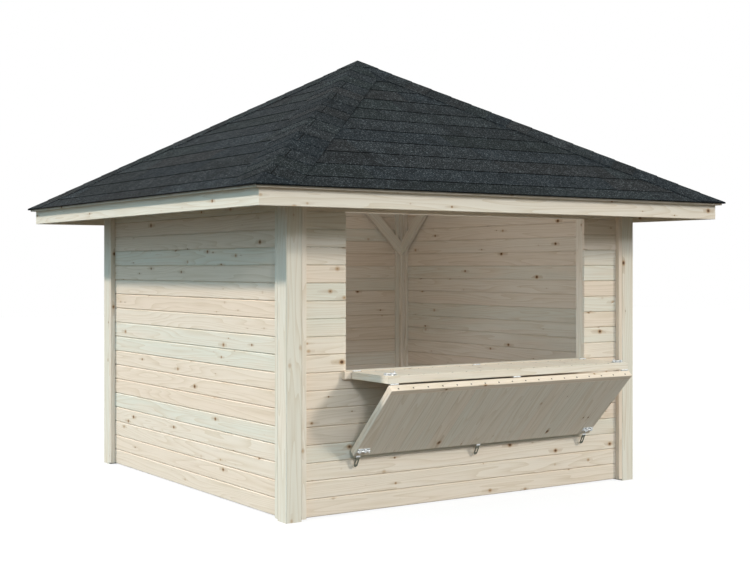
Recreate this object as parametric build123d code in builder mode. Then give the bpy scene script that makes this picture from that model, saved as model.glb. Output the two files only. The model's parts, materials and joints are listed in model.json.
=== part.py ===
from build123d import *

import os
from math import acos, atan2, cos, hypot, radians, sin, sqrt, tan

# Market stall in spruce: four corner posts, boarded walls, a pyramid roof and a hatch
# in two leaves. All sizes in millimetres, front towards -Y, origin on the ground
# under the middle.

# Posts
footprint = 2920.0
post_side = 110.0
post_arris = 4.0

# Wall boards, lying, with the cover width of one tongue and groove board
board_cover = 111.0
board_thick = 19.0
board_recess = 36.0
board_lift = 12.0

# Battens in the corners, on the boards' outer and inner faces
batten_width = 33.0
inner_batten_depth = 19.0

# Hatch opening, its height counted in board courses from the bottom
hatch_width = 2020.0
sill_course = 8
head_course = 17
jamb_width = 45.0
jamb_depth = 69.0
sill_rail_height = 48.0
sill_rail_past = 30.0

# Top plates and knee braces
plate_height = 140.0
brace_reach = 410.0
brace_width = 90.0
brace_thick = 36.0

# Roof
roof_pitch = 30.0
eave_reach = 412.0
fascia_bottom = 1900.0
fascia_height = 119.0
fascia_thick = 20.0
rafter_width = 45.0
rafter_depth = 95.0
jack_place = 730.0
hub_across = 120.0
hub_drop = 40.0
roof_board_thick = 19.0
roof_board_lip = 33.0
shingle_thick = 8.0
shingle_lip = 18.0
hip_cap_thick = 4.0
hip_cap_reach = 285.0

# Hatch leaves
leaf_side_gap = 15.0
leaf_board_thick = 19.0
leaf_batten_thick = 27.0
leaf_batten_width = 45.0
edge_batten_width = 38.0
counter_length = 404.0
flap_length = 611.0
fold_gap = 8.0

# Butt hinges of the hatch
hinge_length = 60.0
hinge_knuckles = 5
hinge_plate = 2.0
hinge_reach = 40.0
hinge_inset = 40.0
knuckle_radius = 4.4
knuckle_play = 0.15
pin_radius = 2.2
pin_play = 0.05
plate_past = 1.0
axis_gap = 4.0
axis_proud = 3.0

# Slide bolts and hasps
bolt_length = 90.0
bolt_width = 32.0
bolt_plate = 2.5
bolt_radius = 5.0
bolt_height = 14.0
bolt_edge = 53.0
bolt_inset = 5.0
keeper_length = 14.0
keeper_width = 20.0
keeper_height = 16.0
keeper_apart = 56.0
knob_radius = 4.0
knob_inset = 12.0
knob_length = 16.0
hasp_length = 84.0
hasp_width = 30.0
hasp_thick = 3.0
hasp_lean = 17.5
hasp_base = 34.0
hasp_slot_length = 34.0
hasp_slot_width = 11.0
hasp_inset = 40.0
hasp_wall_gap = 22.0

# Worked out from the sizes above
half = footprint / 2
post_in = half - post_side
board_face = half - board_recess
board_back = board_face - board_thick
hatch_half = hatch_width / 2
sill_top = board_lift + sill_course * board_cover
head_bottom = board_lift + head_course * board_cover
slope = tan(radians(roof_pitch))
upright = 1 / cos(radians(roof_pitch))
fascia_face = half + eave_reach
fascia_back = fascia_face - fascia_thick
roof_board_edge = fascia_face + roof_board_lip
shingle_edge = roof_board_edge + shingle_lip
shingle_low = roof_board_thick * upright
shingle_high = shingle_low + shingle_thick * upright
hip_cap_high = shingle_high + hip_cap_thick * upright
leaf_half = hatch_half - leaf_side_gap
leaf_thick = leaf_board_thick + leaf_batten_thick
turns = {"front": 0, "right": 90, "back": 180, "left": 270}


def roof_under(reach):
    """Height of the roof boards' underside at this distance from the middle."""
    return fascia_bottom + fascia_height + (fascia_face - reach) * slope


def rafter_under(reach):
    return roof_under(reach) - rafter_depth * upright


wall_top = rafter_under(board_face)
plate_top = rafter_under(post_in)
plate_bottom = plate_top - plate_height
space_top = roof_under(0) + hip_cap_high


def bar(plane, across, along, rise):
    """A straight bar between low and high values on the three axes of a plane."""
    with BuildSketch(plane.offset(rise[0])) as section:
        with Locations((sum(across) / 2, sum(along) / 2)):
            Rectangle(across[1] - across[0], along[1] - along[0])
    extrude(section.sketch, amount=rise[1] - rise[0])


def round_bar(plane, radius, across, along, rise, mode=Mode.ADD):
    """A round bar along the x axis of a plane, its centre at the values given."""
    start = plane.from_local_coords(Vector(across[0], along, rise))
    with BuildSketch(Plane(origin=start, x_dir=plane.y_dir, z_dir=plane.x_dir)) as section:
        Circle(radius)
    extrude(section.sketch, amount=across[1] - across[0], mode=mode)


def keep(piece, name):
    piece.part.label = name
    export_step(piece.part, f"parts/{name}.step")


def turned(piece, turn):
    """A copy of a piece of the front, turned about the middle to another side."""
    with BuildPart() as copy:
        with Locations(Location((0, 0, 0), (0, 0, turn))):
            add(piece.part)
    return copy


def all_round(piece, sides=tuple(turns)):
    """The same piece on every side named, as one node."""
    with BuildPart() as ring:
        with Locations(*[Location((0, 0, 0), (0, 0, turns[side])) for side in sides]):
            add(piece.part)
    return ring


os.makedirs("parts", exist_ok=True)

# Corner posts with broken arrises, to the height of the plates
for name, x_side, y_side in (
    ("front_left", -1, -1),
    ("front_right", 1, -1),
    ("back_left", -1, 1),
    ("back_right", 1, 1),
):
    with BuildPart() as corner_post:
        with BuildSketch():
            with Locations((x_side * (post_in + half) / 2, y_side * (post_in + half) / 2)):
                Rectangle(post_side, post_side)
        extrude(amount=plate_top)
        chamfer(corner_post.edges().filter_by(Axis.Z), post_arris)
    keep(corner_post, f"corner_post_{name}")

# Side and back walls
with BuildPart() as plain_wall:
    bar(Plane.XY, (-post_in, post_in), (-board_face, -board_back), (board_lift, wall_top))
for side in ("left", "right", "back"):
    keep(turned(plain_wall, turns[side]), f"{side}_wall")

# Front wall, beside, under and over the hatch
front_wall_parts = {
    "left": ((-post_in, -hatch_half), (board_lift, wall_top)),
    "right": ((hatch_half, post_in), (board_lift, wall_top)),
    "below_hatch": ((-hatch_half, hatch_half), (board_lift, sill_top)),
    "above_hatch": ((-hatch_half, hatch_half), (head_bottom, wall_top)),
}
for name, (across, rise) in front_wall_parts.items():
    with BuildPart() as front_wall:
        bar(Plane.XY, across, (-board_face, -board_back), rise)
    keep(front_wall, f"front_wall_{name}")

# Battens in the corners
with BuildPart() as outer_pair:
    for across in ((-post_in, batten_width - post_in), (post_in - batten_width, post_in)):
        bar(Plane.XY, across, (-half, -board_face), (board_lift, wall_top))
keep(all_round(outer_pair), "outer_battens")

with BuildPart() as inner_pair:
    for across in ((-post_in, batten_width - post_in), (post_in - batten_width, post_in)):
        bar(Plane.XY, across, (-board_back, inner_batten_depth - board_back), (board_lift, plate_bottom))
keep(all_round(inner_pair), "inner_battens")

# Plates on the walls, between the posts
with BuildPart() as wall_plate:
    bar(Plane.XY, (-post_in, post_in), (-board_back, -post_in), (plate_bottom, plate_top))
keep(all_round(wall_plate), "wall_plates")

# Jambs and rails behind the boards, round the hatch opening, and the rail before them
for name, across in (
    ("left", (-hatch_half - jamb_width, -hatch_half)),
    ("right", (hatch_half, hatch_half + jamb_width)),
):
    with BuildPart() as hatch_jamb:
        bar(Plane.XY, across, (-board_back, jamb_depth - board_back), (board_lift, plate_bottom))
    keep(hatch_jamb, f"hatch_jamb_{name}")

with BuildPart() as hatch_rails:
    for rise in ((sill_top - jamb_width, sill_top), (head_bottom, head_bottom + jamb_width)):
        bar(Plane.XY, (-hatch_half, hatch_half), (-board_back, jamb_depth - board_back), rise)
keep(hatch_rails, "hatch_rails")

with BuildPart() as sill_rail:
    rail_half = hatch_half + sill_rail_past
    bar(Plane.XY, (-rail_half, rail_half), (-half, -board_face), (sill_top - sill_rail_height, sill_top))
keep(sill_rail, "sill_rail")

# Knee braces at 45 degrees from the posts to the plates, on all walls but the front
with BuildPart() as brace_pair:
    inner_reach = brace_reach - brace_width * sqrt(2)
    with BuildSketch(Plane.XZ.offset(post_in)):
        for side in (-1, 1):
            corner = side * post_in
            with BuildLine():
                Polyline(
                    (corner, plate_bottom - brace_reach),
                    (corner - side * brace_reach, plate_bottom),
                    (corner - side * inner_reach, plate_bottom),
                    (corner, plate_bottom - inner_reach),
                    close=True,
                )
            make_face()
    extrude(amount=brace_thick)
keep(all_round(brace_pair, ("right", "back", "left")), "knee_braces")

# Space under the roof boards and inside the fascia, which the rafters fill up to
with BuildPart() as roof_space:
    for turn, mode in ((0, Mode.ADD), (90, Mode.INTERSECT)):
        with BuildSketch(Plane.XZ.rotated((0, 0, turn))):
            with BuildLine():
                Polyline(
                    (-fascia_back, fascia_bottom),
                    (-fascia_back, roof_under(fascia_back)),
                    (0, roof_under(0)),
                    (fascia_back, roof_under(fascia_back)),
                    (fascia_back, fascia_bottom),
                    close=True,
                )
            make_face()
        extrude(amount=fascia_back, both=True, mode=mode)

# Hub at the apex, eight-sided, so each hip and middle rafter meets a flat face
with BuildPart() as roof_hub:
    hub_top = roof_under(hub_across / 2)
    hub_low = rafter_under(hub_across / 2) - hub_drop
    with BuildSketch(Plane.XY.offset(hub_low)):
        RegularPolygon(hub_across / 2, 8, major_radius=False, rotation=22.5)
    extrude(amount=hub_top - hub_low)
keep(roof_hub, "roof_hub")

# Hip rafters, backed to both slopes and notched over the posts and plates
with BuildPart() as hip_rafter:
    hub_end = hub_across / 2
    tail_end = fascia_back * sqrt(2)
    with BuildSketch(Plane(origin=(0, 0, 0), x_dir=(1, -1, 0), z_dir=(-1, -1, 0))):
        with BuildLine():
            Polyline(
                (hub_end, rafter_under(hub_end / sqrt(2))),
                (tail_end, rafter_under(fascia_back)),
                (tail_end, roof_under(fascia_back)),
                (hub_end, roof_under(hub_end / sqrt(2))),
                close=True,
            )
        make_face()
    extrude(amount=rafter_width / 2, both=True)
    add(roof_space.part, mode=Mode.INTERSECT)
    with BuildSketch():
        Rectangle(footprint, footprint)
    extrude(amount=plate_top, mode=Mode.SUBTRACT)
keep(all_round(hip_rafter), "hip_rafters")


def sector(offset, edge, mode=Mode.INTERSECT):
    """Cuts to the front quarter of the plan, an even distance from its diagonals."""
    with BuildSketch() as quarter:
        with BuildLine():
            Polyline((0, -offset), (-edge, -edge - offset), (edge, -edge - offset), close=True)
        make_face()
    extrude(quarter.sketch, amount=space_top, mode=mode)


# Jack rafters, seated on the plates and cut to the sides of the hips
with BuildPart() as front_jacks:
    for place in (-jack_place, 0, jack_place):
        with BuildSketch(Plane.YZ.offset(place)):
            with BuildLine():
                Polyline(
                    (-fascia_back, rafter_under(fascia_back)),
                    (-board_back, rafter_under(board_back)),
                    (-board_back, plate_top),
                    (-post_in, plate_top),
                    (-hub_across / 2, rafter_under(hub_across / 2)),
                    (-hub_across / 2, roof_under(hub_across / 2)),
                    (-fascia_back, roof_under(fascia_back)),
                    close=True,
                )
            make_face()
        extrude(amount=rafter_width / 2, both=True)
    sector(rafter_width / sqrt(2), shingle_edge)
keep(all_round(front_jacks), "jack_rafters")

# Fascia boards, mitred at the corners, their tops bevelled to the roof
with BuildPart() as front_fascia:
    with BuildSketch(Plane.YZ):
        with BuildLine():
            Polyline(
                (-fascia_face, fascia_bottom),
                (-fascia_back, fascia_bottom),
                (-fascia_back, roof_under(fascia_back)),
                (-fascia_face, roof_under(fascia_face)),
                close=True,
            )
        make_face()
    extrude(amount=fascia_face, both=True)
    sector(0, fascia_face)


def slope_sheet(low, high, edge):
    """One slope's sheet between two heights above the boards' underside."""
    with BuildSketch(Plane.YZ) as section:
        with BuildLine():
            Polyline(
                (-edge, roof_under(edge) + low),
                (0, roof_under(0) + low),
                (0, roof_under(0) + high),
                (-edge, roof_under(edge) + high),
                close=True,
            )
        make_face()
    extrude(section.sketch, amount=edge, both=True)
    sector(0, edge)


with BuildPart() as front_boards:
    slope_sheet(0, shingle_low, roof_board_edge)
with BuildPart() as front_shingles:
    slope_sheet(shingle_low, shingle_high, shingle_edge)
for side, turn in turns.items():
    keep(turned(front_fascia, turn), f"fascia_{side}")
    keep(turned(front_boards, turn), f"roof_boards_{side}")
    keep(turned(front_shingles, turn), f"shingles_{side}")

# Caps folded over the hips, all four meeting at the apex
with BuildPart() as front_caps:
    slope_sheet(shingle_high, hip_cap_high, shingle_edge)
    sector(hip_cap_reach, shingle_edge, Mode.SUBTRACT)
keep(all_round(front_caps), "hip_caps")

# Planes of the two leaves: y along the leaf from its hinge, z towards its inner face.
# The counter hinges at the sill rail, the flap at the counter's lower front edge.
sill_axis = Vector(0, -half - axis_gap, sill_top + axis_proud)
counter_near = axis_gap
counter_far = counter_near + counter_length
counter_low = -axis_proud - leaf_thick
fold_axis = sill_axis + Vector(0, -counter_far - fold_gap, counter_low - axis_proud)
flap_near = axis_gap
flap_far = flap_near + flap_length
flap_low = axis_proud

# The flap hangs back under the counter until its hasps are the wall gap off the boards
lean = radians(hasp_lean)
hasp_out = flap_far + hasp_thick + hasp_length * cos(lean)
hasp_up = flap_low + leaf_thick - hasp_thick + hasp_length * sin(lean)
fold_out = -fold_axis.Y - board_face
fold = acos((fold_out - hasp_wall_gap) / hypot(hasp_out, hasp_up)) - atan2(hasp_up, hasp_out)

counter_plane = Plane(origin=sill_axis, x_dir=(-1, 0, 0), z_dir=(0, 0, 1))
flap_plane = Plane(origin=fold_axis, x_dir=(-1, 0, 0), z_dir=(0, -sin(fold), -cos(fold)))
across_leaf = (-leaf_half, leaf_half)


def leaf_boards(plane, low, along):
    """The boards of a leaf's inner face, on its battens."""
    with BuildPart() as boards:
        bar(plane, across_leaf, along, (low + leaf_batten_thick, low + leaf_thick))
    return boards


def leaf_battens(plane, low, along, edge, rails):
    """Battens behind the boards, joined to the deeper one on the hinged edge."""
    with BuildPart() as battens:
        bar(plane, across_leaf, edge, (low, low + leaf_thick))
        for rail in rails:
            bar(plane, across_leaf, (rail, rail + leaf_batten_width), (low, low + leaf_batten_thick))
        for end in (-leaf_half, leaf_half - leaf_batten_width):
            bar(plane, (end, end + leaf_batten_width), along, (low, low + leaf_batten_thick))
    return battens


counter_edge = counter_far - edge_batten_width
keep(leaf_boards(counter_plane, counter_low, (counter_near, counter_edge)), "counter_boards")
keep(
    leaf_battens(
        counter_plane,
        counter_low,
        (counter_near, counter_far),
        (counter_edge, counter_far),
        (counter_near,),
    ),
    "counter_battens",
)
flap_edge = flap_near + edge_batten_width
flap_last_rail = flap_far - leaf_batten_width
flap_middle_rail = (flap_edge + flap_last_rail - leaf_batten_width) / 2
keep(leaf_boards(flap_plane, flap_low, (flap_edge, flap_far)), "flap_boards")
keep(
    leaf_battens(
        flap_plane,
        flap_low,
        (flap_near, flap_far),
        (flap_near, flap_edge),
        (flap_middle_rail, flap_last_rail),
    ),
    "flap_battens",
)

# Butt hinges: three at the sill and three at the fold
hinge_places = (-leaf_half + hinge_inset, 0, leaf_half - hinge_inset)
knuckle_length = hinge_length / hinge_knuckles
plate_start = knuckle_radius + pin_play + plate_past


def hinge_leaf(plane, offset, first_slot):
    """Leaves about the x axis of a plane, each plate lying on a face at an offset.

    Leaves with the first knuckle hold the pin, and the others turn on it.
    """
    holds_pin = first_slot == 0
    for place in hinge_places:
        start = place - hinge_length / 2
        end = start + hinge_length
        bar(plane, (start, end), (plate_start, hinge_reach), (offset - hinge_plate, offset))
        for slot in range(first_slot, hinge_knuckles, 2):
            low = start + slot * knuckle_length + knuckle_play
            high = start + (slot + 1) * knuckle_length - knuckle_play
            bar(plane, (low, high), (0, plate_start), (offset - hinge_plate, offset))
            round_bar(plane, knuckle_radius, (low, high), 0, 0)
        if holds_pin:
            round_bar(plane, pin_radius, (start + knuckle_play, end - knuckle_play), 0, 0)
        else:
            round_bar(plane, pin_radius + pin_play, (start, end), 0, 0, Mode.SUBTRACT)


rail_hinge_plane = Plane(origin=sill_axis, x_dir=(1, 0, 0), z_dir=(0, 1, 0))
counter_back_plane = Plane(origin=sill_axis, x_dir=(-1, 0, 0), z_dir=(0, -1, 0))
counter_under_plane = Plane(origin=fold_axis, x_dir=(1, 0, 0), z_dir=(0, 0, 1))

with BuildPart() as sill_hinges:
    hinge_leaf(rail_hinge_plane, axis_gap, 0)
keep(sill_hinges, "sill_hinges")

with BuildPart() as counter_hinges:
    hinge_leaf(counter_back_plane, axis_gap, 1)
    hinge_leaf(counter_under_plane, axis_proud, 0)
keep(counter_hinges, "counter_hinges")

with BuildPart() as flap_hinges:
    hinge_leaf(flap_plane, axis_proud, 1)
keep(flap_hinges, "flap_hinges")


def slide_bolts(plane, face, far):
    """A slide bolt at each end of a leaf, on its inner face near its free edge."""
    middle = far - bolt_edge
    rod = face + bolt_height - bolt_radius
    with BuildPart() as bolts:
        for side in (-1, 1):
            outer = side * (leaf_half - bolt_inset)
            inner = outer - side * bolt_length
            across = (min(outer, inner), max(outer, inner))
            bar(plane, across, (middle - bolt_width / 2, middle + bolt_width / 2), (face, face + bolt_plate))
            round_bar(plane, bolt_radius, across, middle, rod)
            for keeper in (outer - side * keeper_length, outer - side * keeper_apart):
                ends = (keeper - keeper_length / 2, keeper + keeper_length / 2)
                bar(plane, ends, (middle - keeper_width / 2, middle + keeper_width / 2), (face, keeper_height + face))
            knob_root = plane.from_local_coords(Vector(inner + side * knob_inset, middle, rod))
            with BuildSketch(Plane(origin=knob_root, x_dir=plane.x_dir, z_dir=plane.z_dir)) as knob:
                Circle(knob_radius)
            extrude(knob.sketch, amount=knob_length)
    return bolts


keep(slide_bolts(counter_plane, -axis_proud, counter_far), "counter_bolts")
keep(slide_bolts(flap_plane, flap_low + leaf_thick, flap_far), "flap_bolts")

# Hasps on the flap's free edge, their slotted straps leaning to the wall
hasp_places = (-leaf_half + hasp_inset, 0, leaf_half - hasp_inset)
with BuildPart() as flap_hasps:
    inner_face = flap_low + leaf_thick
    strap_way = flap_plane.y_dir * cos(lean) + flap_plane.z_dir * sin(lean)
    strap_up = flap_plane.z_dir * cos(lean) - flap_plane.y_dir * sin(lean)
    for place in hasp_places:
        across = (place - hasp_width / 2, place + hasp_width / 2)
        bar(flap_plane, across, (flap_far, flap_far + hasp_thick), (inner_face - hasp_base, inner_face))
        root = flap_plane.from_local_coords(Vector(place, flap_far + hasp_thick, inner_face - hasp_thick))
        round_bar(flap_plane, hasp_thick, across, flap_far + hasp_thick, inner_face - hasp_thick)
        strap_plane = Plane(origin=root, x_dir=strap_way, z_dir=strap_up).offset(-hasp_thick / 2)
        with BuildSketch(strap_plane):
            straight = hasp_length - hasp_width / 2
            with Locations((straight / 2, 0)):
                Rectangle(straight, hasp_width)
            with Locations((straight, 0)):
                Circle(hasp_width / 2)
            with Locations((hasp_length - hasp_slot_length, 0)):
                SlotOverall(hasp_slot_length, hasp_slot_width, mode=Mode.SUBTRACT)
        extrude(amount=hasp_thick)
keep(flap_hasps, "flap_hasps")
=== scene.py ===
import json
import math

import bpy
import numpy as np
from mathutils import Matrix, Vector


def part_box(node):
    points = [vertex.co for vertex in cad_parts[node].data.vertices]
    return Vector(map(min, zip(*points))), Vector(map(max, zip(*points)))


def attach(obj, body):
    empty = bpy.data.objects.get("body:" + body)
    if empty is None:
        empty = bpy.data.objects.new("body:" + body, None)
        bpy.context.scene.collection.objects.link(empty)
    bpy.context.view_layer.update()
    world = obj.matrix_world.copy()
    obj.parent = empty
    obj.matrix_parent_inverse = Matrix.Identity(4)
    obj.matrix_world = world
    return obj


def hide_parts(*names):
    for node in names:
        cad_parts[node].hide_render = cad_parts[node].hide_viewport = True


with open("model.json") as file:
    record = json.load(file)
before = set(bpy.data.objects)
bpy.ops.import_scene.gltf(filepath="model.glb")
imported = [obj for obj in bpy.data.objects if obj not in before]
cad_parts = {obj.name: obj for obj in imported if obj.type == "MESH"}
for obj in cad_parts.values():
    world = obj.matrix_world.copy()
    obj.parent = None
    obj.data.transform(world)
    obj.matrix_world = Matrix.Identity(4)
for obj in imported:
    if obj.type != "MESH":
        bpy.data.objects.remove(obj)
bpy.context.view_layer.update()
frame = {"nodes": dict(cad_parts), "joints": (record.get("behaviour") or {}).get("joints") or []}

dice = np.random.default_rng(27)


def lowHigh(node):
    low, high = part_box(node)
    return np.array(low), np.array(high)


# Places read from the CAD nodes, so the dressed pieces stay on them. All in metres.
postLow, postHigh = lowHigh("corner_post_front_left")
wallLow, wallHigh = lowHigh("front_wall_left")
half, postIn, plateTop = -postLow[0], -postHigh[0], postHigh[2]
boardFace, boardBack = -wallLow[1], -wallHigh[1]
wallFoot, wallTop = wallLow[2], wallHigh[2]
hatchHalf = -wallHigh[0]
sillTop = lowHigh("front_wall_below_hatch")[1][2]
headBottom = lowHigh("front_wall_above_hatch")[0][2]
fasciaFace, fasciaBottom = -lowHigh("fascia_front")[0][1], lowHigh("fascia_front")[0][2]
sheathEdge = -lowHigh("roof_boards_front")[0][1]
sheathLow = lowHigh("roof_boards_front")[0][2]
shingleEdge = -lowHigh("shingles_front")[0][1]
slope = math.tan(math.radians(30))
upright = 1 / math.cos(math.radians(30))
sides = {"Front": 0, "Right": 90, "Back": 180, "Left": 270}


def roofUnder(reach):
    # height of the roof boards' underside: the eave's height plus the slope times the way in
    return sheathLow + (sheathEdge - reach) * slope


def turned(points, side):
    # every point turned about the middle of the plan, from the front to another side
    angle = math.radians(sides[side])
    spin = np.array(
        [
            [math.cos(angle), -math.sin(angle), 0],
            [math.sin(angle), math.cos(angle), 0],
            [0, 0, 1],
        ]
    )
    return np.asarray(points) @ spin.T


def linearColour(code):
    # sRGB hex to linear: each part over 255, then the sRGB curve undone
    parts = np.array([int(code[i : i + 2], 16) / 255 for i in (1, 3, 5)])
    parts = np.where(parts <= 0.04045, parts / 12.92, ((parts + 0.055) / 1.055) ** 2.4)
    return (*parts.tolist(), 1.0)


def addNode(tree, kind, inputs=None):
    # inputs holds the node's own settings, plain values for its inputs, and outputs to link
    node = tree.nodes.new("ShaderNode" + kind)
    for key, value in (inputs or {}).items():
        if key == "ramp":
            while len(node.color_ramp.elements) < len(value):
                node.color_ramp.elements.new(0.5)
            for element, (place, code) in zip(node.color_ramp.elements, value):
                element.position, element.color = place, linearColour(code)
        elif isinstance(value, bpy.types.NodeSocket):
            tree.links.new(value, node.inputs[key])
        elif isinstance(key, str) and hasattr(node, key):
            setattr(node, key, value)
        else:
            node.inputs[key].default_value = value
    return node


def maths(tree, operation, *terms):
    return addNode(tree, "Math", {"operation": operation, **dict(enumerate(terms))}).outputs[0]


def vectorMaths(tree, operation, *terms):
    return addNode(tree, "VectorMath", {"operation": operation, **dict(enumerate(terms))}).outputs


def stretched(tree, vector, factors):
    return vectorMaths(tree, "MULTIPLY", vector, factors)["Vector"]


def lengthOf(tree, vector):
    return vectorMaths(tree, "LENGTH", vector)["Value"]


def ranged(tree, source, low, high, first=0.0, last=1.0):
    # carries the stretch from low to high onto the one from first to last, and holds past both
    ends = {"From Min": low, "From Max": high, "To Min": first, "To Max": last}
    return addNode(tree, "MapRange", {**ends, "Value": source}).outputs[0]


def blended(tree, share, under, over):
    # colours in sockets 6 and 7, and the share of the second that shows in socket 0
    return addNode(tree, "Mix", {"data_type": "RGBA", 0: share, 6: under, 7: over}).outputs[2]


def ramped(tree, share, stops):
    return addNode(tree, "ValToRGB", {"ramp": stops, 0: share}).outputs[0]


def noise(tree, place, scale, detail, roughness=0.5):
    values = {"Scale": scale, "Detail": detail, "Roughness": roughness}
    return addNode(tree, "TexNoise", {**values, "Vector": place}).outputs[0]


def attribute(tree, name, output="Fac"):
    return addNode(tree, "Attribute", {"attribute_name": name}).outputs[output]


def bumped(tree, height, strength, distance):
    values = {"Strength": strength, "Distance": distance}
    return addNode(tree, "Bump", {**values, "Height": height}).outputs[0]


def seenRays(tree):
    # 1 for the rays that reach the stage from the camera, a gloss or a glass, and 0 for the rest
    path = addNode(tree, "LightPath").outputs
    direct = maths(tree, "MAXIMUM", path["Is Camera Ray"], path["Is Glossy Ray"])
    return maths(tree, "MAXIMUM", direct, path["Is Transmission Ray"])


def newMaterial(name):
    material = bpy.data.materials.new(name)
    material.use_nodes = True
    tree = material.node_tree
    tree.nodes.clear()
    return material, tree


def closeMaterial(tree, shader):
    addNode(tree, "OutputMaterial", {"Surface": shader.outputs[0]})


# Planed spruce, freshly machined and untreated: pale cream with a pink or green cast from
# board to board, faint growth rings, fine streaks along the grain and small dark knots.
# Stretches say how closely a noise repeats per metre, along the grain and then across it.
spruce = {
    "cream": "#E5DCCE",
    "pink": "#E6D5C3",
    "greenish": "#DDDACD",
    "latewood": "#C0AA88",
    "streak": "#AC9373",
    "knotCore": "#5A3E2A",
    "knotRim": "#AC8557",
    "figureStretch": (0.55, 7.5, 7.5),
    "ringCount": 15,  # contour lines over the figure noise, coarse enough to show at 6 mm a pixel
    "ringsAcross": 34,  # per metre over the board's width
    "ringSharpness": 2.6,  # each ring darkens slowly and ends at once, as latewood does
    "ringShare": 0.34,
    "streakStretch": (3.2, 105, 105),
    "streakShare": 0.26,
    "patchStretch": (1.3, 11, 11),
    "patchShare": 0.55,
    "knotsPerMetre": 12.0,  # cells along each edge of the knot grid
    "knotStretch": (0.8, 1, 1),
    "knotRadius": 0.0135,
    "smallestKnot": 0.0004,
    "knotRarity": 2.9,  # the higher, the fewer of the knots are large
    "haloStretch": (0.17, 1, 1),
    "haloShare": 0.5,
    "relief": 0.0006,
    "roughness": 0.62,
    "specular": 0.3,
}


def planedSpruce(name):
    material, tree = newMaterial(name)
    place = attribute(tree, "grainPlace", "Vector")
    # figure: noise over ten times longer than wide, whose contour lines are the growth rings
    figure = noise(tree, stretched(tree, place, spruce["figureStretch"]), 1.0, 1.5, 0.45)
    across = addNode(tree, "SeparateXYZ", {0: place}).outputs["Y"]
    ringsWide = maths(tree, "MULTIPLY", across, spruce["ringsAcross"])
    ringPhase = maths(tree, "MULTIPLY_ADD", figure, spruce["ringCount"], ringsWide)
    ring = maths(tree, "POWER", maths(tree, "FRACT", ringPhase), spruce["ringSharpness"])
    ringShare = maths(tree, "MULTIPLY", ring, spruce["ringShare"])
    # streaks under a centimetre wide, finer ones among them, and patches of a pinker cast
    streak = noise(tree, stretched(tree, place, spruce["streakStretch"]), 1.0, 3.0, 0.6)
    streakShare = maths(tree, "MULTIPLY", ranged(tree, streak, 0.52, 0.8), spruce["streakShare"])
    patch = noise(tree, stretched(tree, place, spruce["patchStretch"]), 1.0, 2.0)
    patchShare = ranged(tree, patch, 0.45, 0.75, 0, spruce["patchShare"])
    # knots: nearest points of a cell grid, each with its own radius
    knotPlace = stretched(tree, place, spruce["knotStretch"])
    cells = {"Scale": spruce["knotsPerMetre"], "Randomness": 1.0, "Vector": knotPlace}
    knots = addNode(tree, "TexVoronoi", cells).outputs
    knotDice = addNode(tree, "SeparateColor", {0: knots["Color"]}).outputs[0]
    knotLuck = maths(tree, "POWER", knotDice, spruce["knotRarity"])
    knotSize = ranged(tree, knotLuck, 0.05, 1.0, spruce["smallestKnot"], spruce["knotRadius"])
    wayOff = vectorMaths(tree, "SUBTRACT", knotPlace, knots["Position"])["Vector"]
    knotEdge = maths(tree, "DIVIDE", lengthOf(tree, wayOff), knotSize)
    core = ranged(tree, knotEdge, 0.55, 0.95, 1, 0)
    rim = ranged(tree, knotEdge, 0.8, 1.7, 0.75, 0)
    # the grain swings round a knot, which leaves a long faint shade before and after it
    longWay = stretched(tree, wayOff, spruce["haloStretch"])
    haloEdge = maths(tree, "DIVIDE", lengthOf(tree, longWay), knotSize)
    halo = ranged(tree, haloEdge, 0.3, 1.6, spruce["haloShare"], 0)
    # each board's own cast, then one layer over the other
    casts = [(0.0, spruce["greenish"]), (0.45, spruce["cream"]), (1.0, spruce["pink"])]
    colour = ramped(tree, attribute(tree, "boardTone"), casts)
    for share, layer in (
        (patchShare, "pink"),
        (ringShare, "latewood"),
        (streakShare, "streak"),
        (halo, "streak"),
        (rim, "knotRim"),
        (core, "knotCore"),
    ):
        colour = blended(tree, share, colour, linearColour(spruce[layer]))
    height = maths(tree, "MULTIPLY_ADD", streak, 0.6, ringShare)
    smoothest, roughest = spruce["roughness"] - 0.06, spruce["roughness"] + 0.1
    shader = addNode(
        tree,
        "BsdfPrincipled",
        {
            "IOR": 1.5,
            "Specular IOR Level": spruce["specular"],
            "Base Color": colour,
            "Roughness": ranged(tree, streak, 0, 1, smoothest, roughest),
            "Normal": bumped(tree, height, 0.35, spruce["relief"]),
        },
    )
    closeMaterial(tree, shader)
    return material


# Bitumen shingle surfaced with crushed slate: matt charcoal, speckled by its granules, each
# strip a little bluer, greener or browner than the next, with a bare black cut edge.
shingleFinish = {
    "ground": "#1D2124",
    "darkGranule": "#0C0E10",
    "lightGranule": "#697074",
    "blue": "#1B2329",
    "green": "#1E2626",
    "brown": "#242323",
    "cutEdge": "#0C0E0F",
    "granulesPerMetre": 190,  # 5 mm clusters, as single granules of 1 mm don't show in the render
    "granuleShare": 0.55,
    "granuleHeight": 0.0025,
    "cloudsPerMetre": 9.0,
    "toneSteps": 7.0,  # how often the light and dark of the strips runs through over the tones
    "roughness": 0.93,
    "specular": 0.05,
}


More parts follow.
